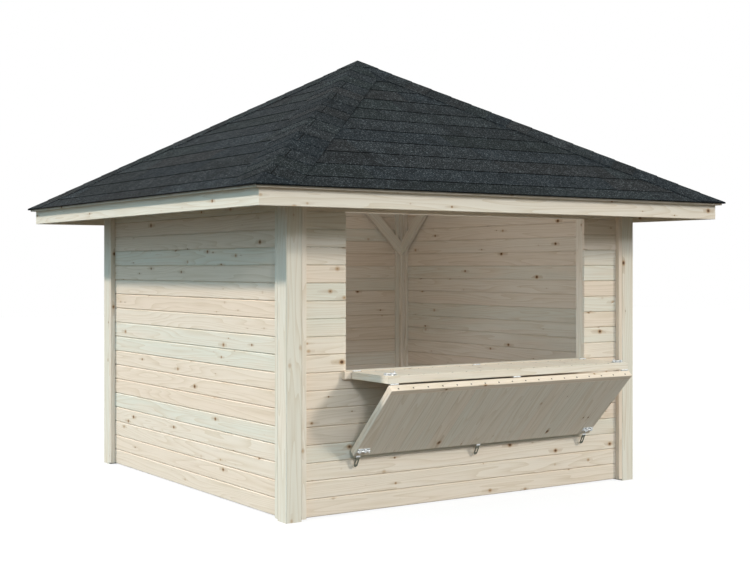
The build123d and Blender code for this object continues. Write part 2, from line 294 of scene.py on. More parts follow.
def slateGranules(name):
    material, tree = newMaterial(name)
    look = shingleFinish
    place = addNode(tree, "TexCoord").outputs["Object"]
    tone = attribute(tree, "boardTone")
    granule = addNode(tree, "TexVoronoi", {"Scale": look["granulesPerMetre"], "Vector": place})
    granuleDice = addNode(tree, "SeparateColor", {0: granule.outputs["Color"]}).outputs
    casts = [
        (0.0, look["blue"]),
        (0.3, look["ground"]),
        (0.55, look["green"]),
        (0.8, look["ground"]),
        (1.0, look["brown"]),
    ]
    speckles = [
        (0.0, look["darkGranule"]),
        (0.35, look["ground"]),
        (0.8, look["ground"]),
        (1.0, look["lightGranule"]),
    ]
    speckle = ramped(tree, granuleDice[0], speckles)
    mixed = blended(tree, look["granuleShare"], ramped(tree, tone, casts), speckle)
    # the tone of a whole strip, and cloudy patches a hand wide, both as a factor on the colour
    cloud = noise(tree, place, look["cloudsPerMetre"], 3.0)
    cloudGain = ranged(tree, cloud, 0.3, 0.7, 0.78, 1.25)
    toneSaw = maths(tree, "FRACT", maths(tree, "MULTIPLY", tone, look["toneSteps"]))
    gain = maths(tree, "MULTIPLY", cloudGain, ranged(tree, toneSaw, 0, 1, 0.84, 1.18))
    shaded = addNode(tree, "VectorMath", {"operation": "SCALE", 0: mixed, "Scale": gain}).outputs[0]
    cut = attribute(tree, "cutEdge")
    shader = addNode(
        tree,
        "BsdfPrincipled",
        {
            "Roughness": look["roughness"],
            "IOR": 1.5,
            "Specular IOR Level": look["specular"],
            "Base Color": blended(tree, cut, shaded, linearColour(look["cutEdge"])),
            "Normal": bumped(tree, granuleDice[1], 0.7, look["granuleHeight"]),
        },
    )
    closeMaterial(tree, shader)
    return material


# Pressed steel, zinc plated: pale grey and softly bright, with a faint crystal spangle.
zincFinish = {
    "bright": "#DADDDE",
    "dull": "#BFC3C5",
    "nailBright": "#6E6A64",
    "nailDull": "#4C4844",
    "spanglePerMetre": 160,
    "smearsPerMetre": 45.0,
    "roughness": 0.5,
}


def zincPlated(name, bright, dull, darkReflection=None):
    # the last argument, where there is one, paints a dark reflection over what lies past its start
    # along a direction
    material, tree = newMaterial(name)
    place = addNode(tree, "TexCoord").outputs["Object"]
    spangle = addNode(tree, "TexVoronoi", {"Scale": zincFinish["spanglePerMetre"], "Vector": place})
    spangleDice = addNode(tree, "SeparateColor", {0: spangle.outputs["Color"]}).outputs[0]
    colour = ramped(tree, spangleDice, [(0.0, dull), (1.0, bright)])
    if darkReflection:
        # painted dark reflection on the part past the start
        way = vectorMaths(tree, "DOT_PRODUCT", place, darkReflection["along"])["Value"]
        share = ranged(tree, way, darkReflection["start"], darkReflection["start"] + darkReflection["edge"])
        colour = blended(tree, share, colour, linearColour(darkReflection["colour"]))
    smear = noise(tree, place, zincFinish["smearsPerMetre"], 3.0)
    smoothest, roughest = zincFinish["roughness"] - 0.08, zincFinish["roughness"] + 0.16
    roughness = ranged(tree, smear, 0, 1, smoothest, roughest)
    inputs = {"Metallic": 1.0, "Base Color": colour, "Roughness": roughness}
    closeMaterial(tree, addNode(tree, "BsdfPrincipled", inputs))
    return material


spruceFinish = planedSpruce("planedSpruce")
granuleFinish = slateGranules("slateGranuleBitumen")
hardwareFinish = zincPlated("zincPlatedSteel", zincFinish["bright"], zincFinish["dull"])
nailFinish = zincPlated("oxidisedNailSteel", zincFinish["nailBright"], zincFinish["nailDull"])
print("materials ready")


class Lofts:
    # Collects bodies, each a row of rings with the same number of points, skinned and capped.
    def __init__(self):
        self.points, self.faces, self.places, self.tones, self.edges = [], [], [], [], []
        self.count = 0

    def add(self, rings, grain=None, tone=None, cut=()):
        # rings: stations by points by xyz. Walls join each ring to the next, and the first and
        # last rings are capped. The signed volume says which way round the faces have to go.
        # grain: the grain's direction and the two across it. cut: which walls are a cut edge.
        rings = np.asarray(rings, float)
        stations, around = rings.shape[:2]
        index = np.arange(stations * around).reshape(stations, around)
        following = np.roll(index, -1, axis=1)
        walls = np.stack([index[:-1], following[:-1], following[1:], index[1:]], axis=-1)
        walls = walls.reshape(-1, 4)
        centre = rings.reshape(-1, 3).mean(0)
        flat = rings.reshape(-1, 3) - centre
        a, b, c, d = (flat[walls[:, i]] for i in range(4))
        volume = np.einsum("ij,ij->", a, np.cross(b, c))
        volume += np.einsum("ij,ij->", a, np.cross(c, d))
        for ring, way in ((flat[index[0]], -1), (flat[index[-1]], 1)):
            fan = np.repeat(ring[:1], around - 2, 0)
            volume += way * np.einsum("ij,ij->", fan, np.cross(ring[1:-1], ring[2:]))
        caps = [index[0][::-1].tolist(), index[-1].tolist()]
        faces = walls.tolist() + caps
        if volume < 0:
            faces = [face[::-1] for face in faces]
        bare = np.zeros(len(faces))
        for wall in cut:
            bare[wall : (stations - 1) * around : around] = 1
        axes = np.eye(3) if grain is None else np.asarray(grain, float)
        shift = dice.uniform(-40, 40, 3)
        self.points.append(rings.reshape(-1, 3))
        self.faces.extend([[corner + self.count for corner in face] for face in faces])
        self.places.append(flat @ axes.T + shift)
        self.tones.append(np.full(stations * around, dice.uniform() if tone is None else tone))
        self.edges.append(bare)
        self.count += stations * around

    def piece(self, name, finish, body, slot, *nodes):
        mesh = bpy.data.meshes.new(name)
        mesh.from_pydata(np.concatenate(self.points), [], self.faces)
        place = mesh.attributes.new("grainPlace", "FLOAT_VECTOR", "POINT")
        place.data.foreach_set("vector", np.concatenate(self.places).astype(np.float32).ravel())
        tone = mesh.attributes.new("boardTone", "FLOAT", "POINT")
        tone.data.foreach_set("value", np.concatenate(self.tones).astype(np.float32))
        edge = mesh.attributes.new("cutEdge", "FLOAT", "FACE")
        edge.data.foreach_set("value", np.concatenate(self.edges).astype(np.float32))
        mesh.update()
        mesh.materials.append(finish)
        thing = bpy.data.objects.new(name, mesh)
        bpy.context.scene.collection.objects.link(thing)
        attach(thing, body)
        if nodes:
            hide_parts(*nodes)

    def timber(self, name, *nodes, body="stall"):
        self.piece(name, spruceFinish, body, "spruce", *nodes)


def extruded(profile, start, end, origin, along, across, deep):
    # a profile of across and deep values carried from start to end along a straight line
    profile, along, across, deep = (np.asarray(v, float) for v in (profile, along, across, deep))
    section = np.asarray(origin, float) + profile[:, :1] * across + profile[:, 1:] * deep
    ends = [np.broadcast_to(np.asarray(v, float), len(profile))[:, None] for v in (start, end)]
    return np.stack([section + v * along for v in ends])


def arrisSection(low, high, arris):
    # a rectangle between two corners with its four corners cut back by the arris
    (x0, y0), (x1, y1), a = low, high, arris
    return np.array(
        [
            (x0 + a, y0),
            (x1 - a, y0),
            (x1, y0 + a),
            (x1, y1 - a),
            (x1 - a, y1),
            (x0 + a, y1),
            (x0, y1 - a),
            (x0, y0 + a),
        ]
    )


def barBetween(lofts, low, high, axis, side="Front", arris=0.002, tone=None):
    # a straight bar between two corners, its grain along one axis, with broken arrises
    low, high = np.minimum(low, high), np.maximum(low, high)
    others = [i for i in range(3) if i != axis]
    unit = np.eye(3)
    section = arrisSection(low[others], high[others], arris)
    directions = unit[[axis, *others]]
    rings = extruded(section, low[axis], high[axis], (0, 0, 0), *directions)
    grain = turned(directions, side)
    lofts.add(turned(rings, side), grain, tone)


# Wall boards: lying tongue and groove, each profile carried along the wall. Both faces have
# a bevelled joint, and a narrow gap over each board shows the tongue in shade.
wallBoards = {
    "cover": 0.111,
    "bevel": 0.0048,
    "gap": 0.0023,
    "gapDepth": 0.009,
    "innerBevel": 0.0042,
    "innerGap": 0.0024,
    "innerDepth": 0.0075,
    "wander": 0.0004,  # how far a board's face may lie behind the next one's
}


def boardSection(low, high, thick, spec):
    # across from low to high, deep from the outer face at 0 to the inner one at thick
    bevel, gap, depth = spec["bevel"], spec["gap"], spec["gapDepth"]
    inner, innerGap, innerDepth = spec["innerBevel"], spec["innerGap"], spec["innerDepth"]
    return np.array(
        [
            (low + bevel, 0),
            (high - gap - bevel, 0),
            (high - gap, bevel),
            (high - gap, depth),
            (high, depth),
            (high, thick - innerDepth),
            (high - innerGap, thick - innerDepth),
            (high - innerGap, thick - inner),
            (high - innerGap - inner, thick),
            (low + inner, thick),
            (low, thick - inner),
            (low, bevel),
        ]
    )


# a lying board's grain, its width and its depth
lyingGrain = [(1, 0, 0), (0, 0, 1), (0, 1, 0)]


def wallOfBoards(lofts, side, runs):
    # runs: start and end along the wall, lowest and highest height, for each stretch
    cover = wallBoards["cover"]
    thick = boardFace - boardBack
    for start, end, low, high in runs:
        first = int(round((low - wallFoot) / cover))
        last = int(math.ceil((high - wallFoot) / cover - 1e-6))
        for course in range(first, last):
            foot = wallFoot + course * cover
            section = boardSection(foot, min(foot + cover, high), thick, wallBoards)
            wander = dice.uniform(0, wallBoards["wander"])
            section[:, 1] += np.where(section[:, 1] < thick / 2, wander, 0)
            rings = extruded(section, start, end, (0, -boardFace, 0), *lyingGrain)
            lofts.add(turned(rings, side), turned(lyingGrain, side))


for side in ("Right", "Back", "Left"):
    lofts = Lofts()
    wallOfBoards(lofts, side, [(-postIn, postIn, wallFoot, wallTop)])
    lofts.timber(f"wallBoards{side}", f"{side.lower()}_wall")

lofts = Lofts()
wallOfBoards(
    lofts,
    "Front",
    [
        (-postIn, postIn, wallFoot, sillTop),
        (-postIn, -hatchHalf, sillTop, headBottom),
        (hatchHalf, postIn, sillTop, headBottom),
        (-postIn, postIn, headBottom, wallTop),
    ],
)
lofts.timber(
    "wallBoardsFront",
    "front_wall_left",
    "front_wall_right",
    "front_wall_below_hatch",
    "front_wall_above_hatch",
)
print("walls boarded")

# Timber frame: sawn square and planed, arrises broken with a plane
frameTimber = {
    "postArris": 0.004,
    "plateArris": 0.003,
    "battenArris": 0.002,
    "battenWidth": 0.033,
    "innerBatten": 0.019,
    "railHeight": 0.045,
    "braceWidth": 0.09,
    "braceThick": 0.036,
}
plateBottom = lowHigh("wall_plates")[0][2]

for place in ("front_left", "front_right", "back_left", "back_right"):
    lofts = Lofts()
    low, high = lowHigh(f"corner_post_{place}")
    barBetween(lofts, low, high, 2, arris=frameTimber["postArris"], tone=dice.uniform(0.1, 0.6))
    name = "cornerPost" + place.title().replace("_", "")
    lofts.timber(name, f"corner_post_{place}")

innerFace = -boardBack + frameTimber["innerBatten"]
battenBands = {
    "outer_battens": ("cornerBattensOutside", -half, -boardFace, wallTop),
    "inner_battens": ("cornerBattensInside", -boardBack, innerFace, plateBottom),
}
for node, (name, near, far, top) in battenBands.items():
    lofts = Lofts()
    for side in sides:
        for edge in (-1, 1):
            low = np.array((edge * postIn, near, wallFoot))
            high = np.array((edge * (postIn - frameTimber["battenWidth"]), far, top))
            barBetween(lofts, low, high, 2, side, frameTimber["battenArris"])
    lofts.timber(name, node)

lofts = Lofts()
for side in sides:
    low, high = (-postIn, -boardBack, plateBottom), (postIn, -postIn, plateTop)
    barBetween(lofts, low, high, 0, side, frameTimber["plateArris"])
lofts.timber("wallPlates", "wall_plates")

for place in ("left", "right"):
    lofts = Lofts()
    barBetween(lofts, *lowHigh(f"hatch_jamb_{place}"), 2)
    lofts.timber(f"hatchJamb{place.title()}", f"hatch_jamb_{place}")

lofts = Lofts()
railLow, railHigh = lowHigh("hatch_rails")
railTall = frameTimber["railHeight"]
for foot, top in ((railLow[2], railLow[2] + railTall), (railHigh[2] - railTall, railHigh[2])):
    barBetween(lofts, (*railLow[:2], foot), (*railHigh[:2], top), 0)
lofts.timber("hatchRailsInside", "hatch_rails")

lofts = Lofts()
barBetween(lofts, *lowHigh("sill_rail"), 0, arris=frameTimber["plateArris"])
lofts.timber("sillRail", "sill_rail")

# Knee braces: a bar at 45 degrees whose ends are cut upright to the post and level to the plate
braceReach = plateBottom - lowHigh("knee_braces")[0][2]
lofts = Lofts()
for side in ("Right", "Back", "Left"):
    inner = braceReach - frameTimber["braceWidth"] * math.sqrt(2)
    for edge in (-1, 1):
        outline = np.array(
            [
                (edge * postIn, plateBottom - braceReach),
                (edge * (postIn - braceReach), plateBottom),
                (edge * (postIn - inner), plateBottom),
                (edge * postIn, plateBottom - inner),
            ]
        )
        ends = (-postIn - frameTimber["braceThick"], -postIn)
        rings = extruded(outline, *ends, (0, 0, 0), (0, 1, 0), (1, 0, 0), (0, 0, 1))
        grain = np.array([(-edge, 0, 1), (edge, 0, 1), (0, 1, 0)], float)
        grain[:2] /= math.sqrt(2)
        lofts.add(turned(rings, side), turned(grain, side))
lofts.timber("kneeBraces", "knee_braces")
print("frame timber ready")

# Rafters: an upright outline carried across the bar's width. Each top follows the roof, the
# hips' outlines reach less far at their sides, and the jacks stop at the hips' sides.
rafters = {"halfWidth": 0.0225, "depth": 0.095, "hubHalf": 0.06, "jackPlace": 0.73}
fascia = {"thick": 0.020, "arris": 0.0025}
fasciaBack = fasciaFace - fascia["thick"]
wayDown = np.array((0, -1, -slope)) / upright
rafterGrain = np.array([wayDown, (1, 0, 0), np.cross(wayDown, (1, 0, 0))])


def rafterUnder(reach):
    return roofUnder(reach) - rafters["depth"] * upright


lofts = Lofts()
for side in sides:
    for place in (-rafters["jackPlace"], 0, rafters["jackPlace"]):
        rings = []
        for x in (place - rafters["halfWidth"], place + rafters["halfWidth"]):
            reach = max(rafters["hubHalf"], abs(x) + rafters["halfWidth"] * math.sqrt(2))
            rings.append(
                [
                    (x, -fasciaBack, rafterUnder(fasciaBack)),
                    (x, -boardBack, rafterUnder(boardBack)),
                    (x, -boardBack, plateTop),
                    (x, -postIn, plateTop),
                    (x, -reach, rafterUnder(reach)),
                    (x, -reach, roofUnder(reach)),
                    (x, -fasciaBack, roofUnder(fasciaBack)),
                ]
            )
        lofts.add(turned(rings, side), turned(rafterGrain, side))
lofts.timber("jackRafters", "jack_rafters")

lofts = Lofts()
for side in sides:
    rings = []
    for off in (-rafters["halfWidth"], 0, rafters["halfWidth"]):
        step = abs(off)
        start = rafters["hubHalf"]
        seat, tail = half * math.sqrt(2) - step, fasciaBack * math.sqrt(2) - step
        outline = [
            (start, rafterUnder(start / math.sqrt(2))),
            (postIn * math.sqrt(2), plateTop),
            (seat, plateTop),
            (seat, rafterUnder(seat / math.sqrt(2))),
            (tail, rafterUnder(tail / math.sqrt(2))),
            (tail, roofUnder((tail + step) / math.sqrt(2))),
            (start, roofUnder((start + step) / math.sqrt(2))),
        ]
        rings.append([((d + off) / math.sqrt(2), (off - d) / math.sqrt(2), z) for d, z in outline])
    hipDown = np.array((1, -1, -slope * math.sqrt(2)))
    hipDown = hipDown / np.linalg.norm(hipDown)
    aside = np.array((1, 1, 0)) / math.sqrt(2)
    lofts.add(turned(rings, side), turned([hipDown, aside, np.cross(hipDown, aside)], side))
lofts.timber("hipRafters", "hip_rafters")

# Hub: eight flats round the apex, an octagon carried upright
hubLow, hubHigh = lowHigh("roof_hub")
spokes = math.radians(22.5) + np.arange(8) * math.pi / 4
ring = np.stack([np.cos(spokes), np.sin(spokes)], axis=1)
ring = rafters["hubHalf"] / math.cos(math.pi / 8) * ring
lofts = Lofts()
rings = extruded(ring, hubLow[2], hubHigh[2], (0, 0, 0), (0, 0, 1), (1, 0, 0), (0, 1, 0))
lofts.add(rings, [(0, 0, 1), (1, 0, 0), (0, 1, 0)])
lofts.timber("roofHub", "roof_hub")

# Fascia: a board on edge with a bevelled top, mitred, as each point runs to its own distance
# from the middle on both sides
for side in sides:
    a = fascia["arris"]
    outline = np.array(
        [
            (-fasciaFace + a, fasciaBottom),
            (-fasciaBack - a, fasciaBottom),
            (-fasciaBack, fasciaBottom + a),
            (-fasciaBack, roofUnder(fasciaBack)),
            (-fasciaFace, roofUnder(fasciaFace)),
            (-fasciaFace, fasciaBottom + a),
        ]
    )
    lofts = Lofts()
    ends = (outline[:, 0], -outline[:, 0])
    rings = extruded(outline, *ends, (0, 0, 0), *np.eye(3))
    lofts.add(turned(rings, side), turned(lyingGrain, side), dice.uniform(0.1, 0.4))
    lofts.timber(f"fascia{side}", f"fascia_{side.lower()}")

# Roof boards: tongue and groove running along the eaves, joints bevelled underneath, each
# course mitred at the hips
roofBoards = {"cover": 0.111, "thick": 0.019, "bevel": 0.003, "edgeArris": 0.0015, "top": 0.03}


def onSlope(way, rise):
    # way up the slope from the boards' edge and rise square to it, as distance and height
    reach = sheathEdge - np.asarray(way) / upright
    return reach, roofUnder(reach) + np.asarray(rise) * upright


for side in sides:
    lofts = Lofts()
    length = (sheathEdge - roofBoards["top"]) * upright
    for course in range(int(math.ceil(length / roofBoards["cover"]))):
        low = course * roofBoards["cover"]
        high = min(low + roofBoards["cover"], length)
        bevel = roofBoards["bevel"]
        section = np.array(
            [
                (low + bevel, 0),
                (high - bevel, 0),
                (high, bevel),
                (high, roofBoards["thick"]),
                (low, roofBoards["thick"]),
                (low, bevel),
            ]
        )
        if course == 0:
            # the eave's own edge is only broken, and not bevelled as a joint
            section[0, 0], section[5, 1] = low + roofBoards["edgeArris"], roofBoards["edgeArris"]
        reach, height = onSlope(section[:, 0], section[:, 1])
        outline = np.stack([-reach, height], axis=1)
        rings = extruded(outline, -reach, reach, (0, 0, 0), *np.eye(3))
        lofts.add(turned(rings, side), turned([(1, 0, 0), *rafterGrain[[0, 2]]], side))
    lofts.timber(f"roofBoards{side}", f"roof_boards_{side.lower()}")
print("roof framed and boarded")

# Shingles: twelve courses a slope, thicker at the cut lower edge than where the next course
# covers them, in metre strips with narrow joints. Ends are clipped to the hips.
shingles = {
    "firstEdge": 1.806,
    "step": 0.163,
    "felt": 0.019,
    "base": 0.0198,
    "high": 0.0265,
    "low": 0.0228,
    "strip": 1.0,
    "joint": 0.0035,
    "waver": 0.0042,  # how far a cut edge runs out of line
    "uneven": 0.0008,  # how much thinner one strip may be than the next
    "tuck": 0.002,  # what a strip stops short of the next course's edge
    "shortest": 0.12,  # no joint lies nearer to a hip than this
    "pastHips": 9.0,  # past any hip, so the outer strips' ends are clipped to it
    "feltThick": 0.0006,
    "feltInset": 0.004,
    "stations": 12,
    "lastReach": 0.04,
    "lastCourse": 0.05,  # least way in plan that the highest course covers
}


def atReach(reach, rise):
    return roofUnder(reach) + rise * upright


edges = [shingleEdge]
while edges[-1] > shingles["lastReach"] + 2 * shingles["lastCourse"]:
    edges.append(shingles["firstEdge"] - shingles["step"] * (len(edges) - 1))
edges = [edge for edge in edges if edge > shingles["lastReach"] + shingles["lastCourse"]]
edges.append(shingles["lastReach"])

for side in sides:
    lofts = Lofts()
    # bare felt under the strips, so the joints between them stay dark
    reach = np.repeat([shingleEdge - shingles["feltInset"], shingles["lastReach"]], 2)
    rise = shingles["felt"] + np.array([0, 1, 1, 0]) * shingles["feltThick"]
    ends = [np.stack([end * reach, -reach, atReach(reach, rise)], axis=1) for end in (-1, 1)]
    rings = np.stack(ends)
    lofts.add(turned(rings, side), cut=(0, 1, 2, 3))
    for lower, upper in zip(edges[:-1], edges[1:]):
        start = -lower - dice.uniform(0.1, 0.9) * shingles["strip"]
        breaks = np.arange(start, lower + shingles["strip"], shingles["strip"])
        breaks = breaks[np.abs(breaks) < upper - shingles["shortest"]]
        limits = np.concatenate([[-shingles["pastHips"]], breaks, [shingles["pastHips"]]])
        for left, right in zip(limits[:-1], limits[1:]):
            # stations along the strip, the cut edge of each a little lower or higher than the last
            share = np.linspace(0, 1, shingles["stations"])[:, None]
            drop = dice.uniform(0, shingles["waver"], share.shape) * (lower < shingleEdge)
            edgeRise = shingles["high"] - dice.uniform(0, shingles["uneven"])
            cutEdge, tucked = lower + drop, np.full_like(drop, upper - shingles["tuck"])
            reach = np.concatenate([cutEdge, cutEdge, tucked, tucked], axis=1)
            rise = np.array([shingles["base"], edgeRise, shingles["low"], shingles["base"]])
            near = np.clip(left + shingles["joint"] / 2, -reach, reach)
            far = np.clip(right - shingles["joint"] / 2, -reach, reach)
            along = near + (far - near) * share
            rings = np.stack([along, -reach, atReach(reach, rise)], axis=-1)
            lofts.add(turned(rings, side), cut=(0,))
    name, node = f"shingles{side}", f"shingles_{side.lower()}"
    lofts.piece(name, granuleFinish, "stall", "bitumen_shingle", node)

# Hip caps: tabs folded over the hip, lapped up to the apex. A tab's line across the slope is
# square to the hip: from the hip point it runs 1.155 inwards for each 0.866 down the plan.
hipCaps = {
    "step": 0.107,
    "firstLine": 1.796,
    "halfWidth": 0.141,
    "base": 0.0265,
    "high": 0.031,
    "low": 0.0282,
    "slotNear": 0.0245,
    "slotFar": 0.0285,
    "slotLift": 0.0004,  # the slot's floor over the cap's underside
    "lastSlot": 0.2,  # no slots nearer to the apex than this
    "foldHalf": 0.005,
    "foldDrop": 0.0012,  # the fold's line lies this much under the tab's two faces
    "foldShoulder": 0.0003,
    "apexReach": 0.115,
    "apexLap": 0.0002,  # the tabs stay this much under the apex patch
    "apexPoint": 0.003,
    "lastLine": 0.03,
}


def capLine(c, rise, slotted):
    # one line of a cap, front slope side first, at the hip point c from the middle
    wide = min(hipCaps["halfWidth"], c / upright * 0.98)
    base, fold = hipCaps["base"], (hipCaps["foldHalf"], rise - hipCaps["foldShoulder"])
    floor = base + hipCaps["slotLift"]
    front = [(wide, rise), (wide * 0.6, rise)]
    if slotted:
        near, far = hipCaps["slotNear"], hipCaps["slotFar"]
        front += [(far, rise), (far, floor), (near, floor), (near, rise)]
    else:
        front += [(wide * 0.3, rise)]
    other = [fold, (wide * 0.5, rise), (wide, rise), (wide, base)]
    line = [("front", *place) for place in (*front, fold)]
    line += [("fold", 0, rise - hipCaps["foldDrop"])]
    line += [("other", *place) for place in other]
    line += [("fold", 0, base), ("front", wide, base)]
    points = []
    for slopeSide, off, up in line:
        inward, outward = c - off * upright, min(c + off / upright, shingleEdge)
        place = (-inward, -outward) if slopeSide == "front" else (-outward, -inward)
        points.append((*place, atReach(outward, up)))
    return points


capEdges = [shingleEdge]
while capEdges[-1] > hipCaps["lastLine"] + hipCaps["step"]:
    capEdges.append(hipCaps["firstLine"] - hipCaps["step"] * (len(capEdges) - 1))
lofts = Lofts()
for side in sides:
    for order, (lower, upper) in enumerate(zip(capEdges[:-1], capEdges[1:])):
        slotted = order % 2 == 1 and upper > hipCaps["lastSlot"]
        edgeRise = hipCaps["high"] - hipCaps["apexLap"]
        rings = [capLine(lower, edgeRise, slotted), capLine(upper, hipCaps["low"], slotted)]
        lofts.add(turned(rings, side), cut=(2, 3, 4) if slotted else ())
# apex: a square patch bent over all four slopes, an upright rim closed to a point
corners = ((-1, -1), (1, -1), (1, 1), (-1, 1))
rims = (("apexReach", "base"), ("apexReach", "high"), ("apexPoint", "high"))
apexRings = []
for reach, rise in rims:
    reach, height = hipCaps[reach], atReach(hipCaps[reach], hipCaps[rise])
    apexRings.append([(x * reach, y * reach, height) for x, y in corners])
lofts.add(apexRings)
lofts.piece("hipCaps", granuleFinish, "stall", "bitumen_shingle", "hip_caps")
print("roof covered")

# Leaves of the hatch. Each is laid out from its hinge: out along the leaf, and up square to it.
joints = {joint["name"]: joint for joint in frame["joints"]}
sillAxis = np.array(joints["counter_swing"]["pos_m"])
foldAxis = np.array(joints["flap_swing"]["pos_m"])
foldAngle = math.pi - math.radians(joints["flap_swing"]["range_deg"][1])
leafSide = np.array((-1.0, 0, 0))
counterOut, counterUp = np.array((0, -1.0, 0)), np.array((0, 0, 1.0))
flapUp = np.array((0, -math.sin(foldAngle), -math.cos(foldAngle)))
flapOut = np.cross(flapUp, leafSide)
# A leaf's frame is its hinge axis, the way out and the way up.
leaves = {
    "halfWidth": hatchHalf - 0.015,  # 15 mm clear of the opening at each end
    "boards": 18,
    "thick": 0.019,
    "batten": 0.027,
    "railWidth": 0.045,
    "edgeWidth": 0.038,
    "arris": 0.0018,
    "hingeGap": 0.004,  # from the hinge's axis to the first bar
    "axisDepth": 0.003,  # from the hinge's axis to the leaf's near face
    "flapFar": 0.615,
}
leafSection = {
    "bevel": 0.0014,
    "gap": 0.0006,
    "gapDepth": 0.004,
    "innerBevel": 0.0012,
    "innerGap": 0.001,
    "innerDepth": 0.003,
}


def leafPoint(leaf, side, along, rise):
    origin, out, up = leaf
    return origin + side * leafSide + along * out + rise * up


def leafBoards(lofts, leaf, near, far, low):
    # boards across the leaf, their profile carried the short way from hinge to free edge
    origin, out, up = leaf
    for number in range(leaves["boards"]):
        start = -leaves["halfWidth"] + number * pitch
        section = boardSection(start, start + pitch, leaves["thick"], leafSection)
        section[:, 1] = leaves["thick"] - section[:, 1]
        rings = extruded(section, near, far, origin + up * low, out, leafSide, up)
        lofts.add(rings, [out, leafSide, up], dice.uniform(0.25, 0.65))


def leafBar(lofts, leaf, side, along, rise, lengthwise):
    # a bar in the leaf's own directions, its grain across the leaf or out along it
    origin, out, up = leaf
    run, wide = (side, along) if lengthwise else (along, side)
    grain = [leafSide, out, up] if lengthwise else [out, leafSide, up]
    section = arrisSection((wide[0], rise[0]), (wide[1], rise[1]), leaves["arris"])
    lofts.add(extruded(section, *run, origin, *grain), grain)


def leafFrame(lofts, leaf, near, far, edge, rails, low):
    # a deep bar along one edge, rails beside it, and the end bars between what is left
    wide, rail = leaves["halfWidth"], leaves["railWidth"]
    deep = (low, low + leaves["batten"])
    leafBar(lofts, leaf, (-wide, wide), edge, (low, low + leaves["thick"] + leaves["batten"]), True)
    for place in rails:
        leafBar(lofts, leaf, (rail - wide, wide - rail), (place, place + rail), deep, True)
    start = near + (leaves["edgeWidth"] if edge[0] == near else 0)
    stop = far - (leaves["edgeWidth"] if edge[1] == far else 0)
    for place in (-wide, wide - rail):
        leafBar(lofts, leaf, (place, place + rail), (start, stop), deep, False)


def reachOf(node, origin, out):
    # how far a node's corners lie out along a leaf
    low, high = lowHigh(node)
    corners = np.array(np.meshgrid(*zip(low, high))).reshape(3, -1).T
    return (corners - origin) @ out


pitch = 2 * leaves["halfWidth"] / leaves["boards"]
counterLeaf = (sillAxis, counterOut, counterUp)
counterNear = leaves["hingeGap"]
counterFar = float(reachOf("counter_battens", sillAxis, counterOut).max())
counterEdge = counterFar - leaves["edgeWidth"]
counterTop = -leaves["axisDepth"]
counterLow = counterTop - (leaves["thick"] + leaves["batten"])
flapLeaf = (foldAxis, flapOut, flapUp)
flapNear, flapFar, flapLow = leaves["hingeGap"], leaves["flapFar"], leaves["axisDepth"]
flapEdge = flapNear + leaves["edgeWidth"]

lofts = Lofts()
leafBoards(lofts, counterLeaf, counterNear, counterEdge, counterLow + leaves["batten"])
lofts.timber("counterBoards", "counter_boards", body="counter")
lofts = Lofts()
freeEdge = (counterEdge, counterFar)
leafFrame(lofts, counterLeaf, counterNear, counterFar, freeEdge, (counterNear,), counterLow)
lofts.timber("counterBattens", "counter_battens", body="counter")

lofts = Lofts()
leafBoards(lofts, flapLeaf, flapEdge, flapFar, flapLow + leaves["batten"])
lofts.timber("flapBoards", "flap_boards", body="flap")
lofts = Lofts()
lastRail = flapFar - leaves["railWidth"]
middleRail = (flapEdge + lastRail - leaves["railWidth"]) / 2
flapRails = (middleRail, lastRail)
leafFrame(lofts, flapLeaf, flapNear, flapFar, (flapNear, flapEdge), flapRails, flapLow)
lofts.timber("flapBattens", "flap_battens", body="flap")


# Nail heads: one row by each edge of the counter and one along the flap's fold
nails = {
    "radius": 0.0056,
    "hingeRow": 0.8,  # the row by the sill hinges is smaller, as a share of the radius
    "proud": 0.0009,
    "sunk": 0.001,
    "dome": 0.55,  # the top ring's share of the radius
    "points": 8,
    "freeInset": 0.02,
    "hingeInset": 0.024,
    "foldRise": 0.03,
}


def nailHead(lofts, centre, normal, radius):
    # a shallow dome: three rings of eight points, the last one small, closed on top
    normal = normal / np.linalg.norm(normal)
    # any direction that isn't along the normal gives two square to it
    first = np.cross(normal, (0.31, 0.52, 0.79))
    first /= np.linalg.norm(first)
    second = np.cross(normal, first)
    angles = np.arange(nails["points"]) * math.tau / nails["points"]
    circle = np.cos(angles)[:, None] * first + np.sin(angles)[:, None] * second
    proud = nails["proud"]
    dome = ((-nails["sunk"], 1), (proud / 2, 1), (proud, nails["dome"]))
    lofts.add([centre + normal * height + circle * radius * share for height, share in dome])


nailPlaces = -leaves["halfWidth"] + pitch * (np.arange(leaves["boards"]) + 0.5)
lofts = Lofts()
for side in nailPlaces:
    centre = leafPoint(counterLeaf, side, counterFar - nails["freeInset"], counterTop)
    nailHead(lofts, centre, counterUp, nails["radius"])
    centre = leafPoint(counterLeaf, side, counterNear + nails["hingeInset"], counterTop)
    nailHead(lofts, centre, counterUp, nails["radius"] * nails["hingeRow"])
lofts.piece("counterNails", nailFinish, "counter", "galvanised_steel")
lofts = Lofts()
for side in nailPlaces:
    centre = leafPoint(flapLeaf, side, flapNear, flapLow + nails["foldRise"])
    nailHead(lofts, centre, -flapOut, nails["radius"])
lofts.piece("flapNails", nailFinish, "flap", "galvanised_steel")
print("hatch leaves ready")

# Hardware stays as its CAD nodes. The hasps' straps past the flap's end get a painted dark
# reflection.
haspDarkReflection = {
    "along": tuple(flapOut.tolist()),
    "start": float(foldAxis @ flapOut) + flapFar + 0.012,  # 12 mm past the flap's end
    "edge": 0.002,
    "colour": "#63645A",
}
haspFinish = zincPlated("darkReflectionZincSteel", zincFinish["bright"], zincFinish["dull"], haspDarkReflection)
plated = ("sill_hinges", "counter_hinges", "flap_hinges", "counter_bolts", "flap_bolts")
for node in (*plated, "flap_hasps"):
    thing = frame["nodes"][node]
    thing.data.materials.clear()
    thing.data.materials.append(haspFinish if node == "flap_hasps" else hardwareFinish)

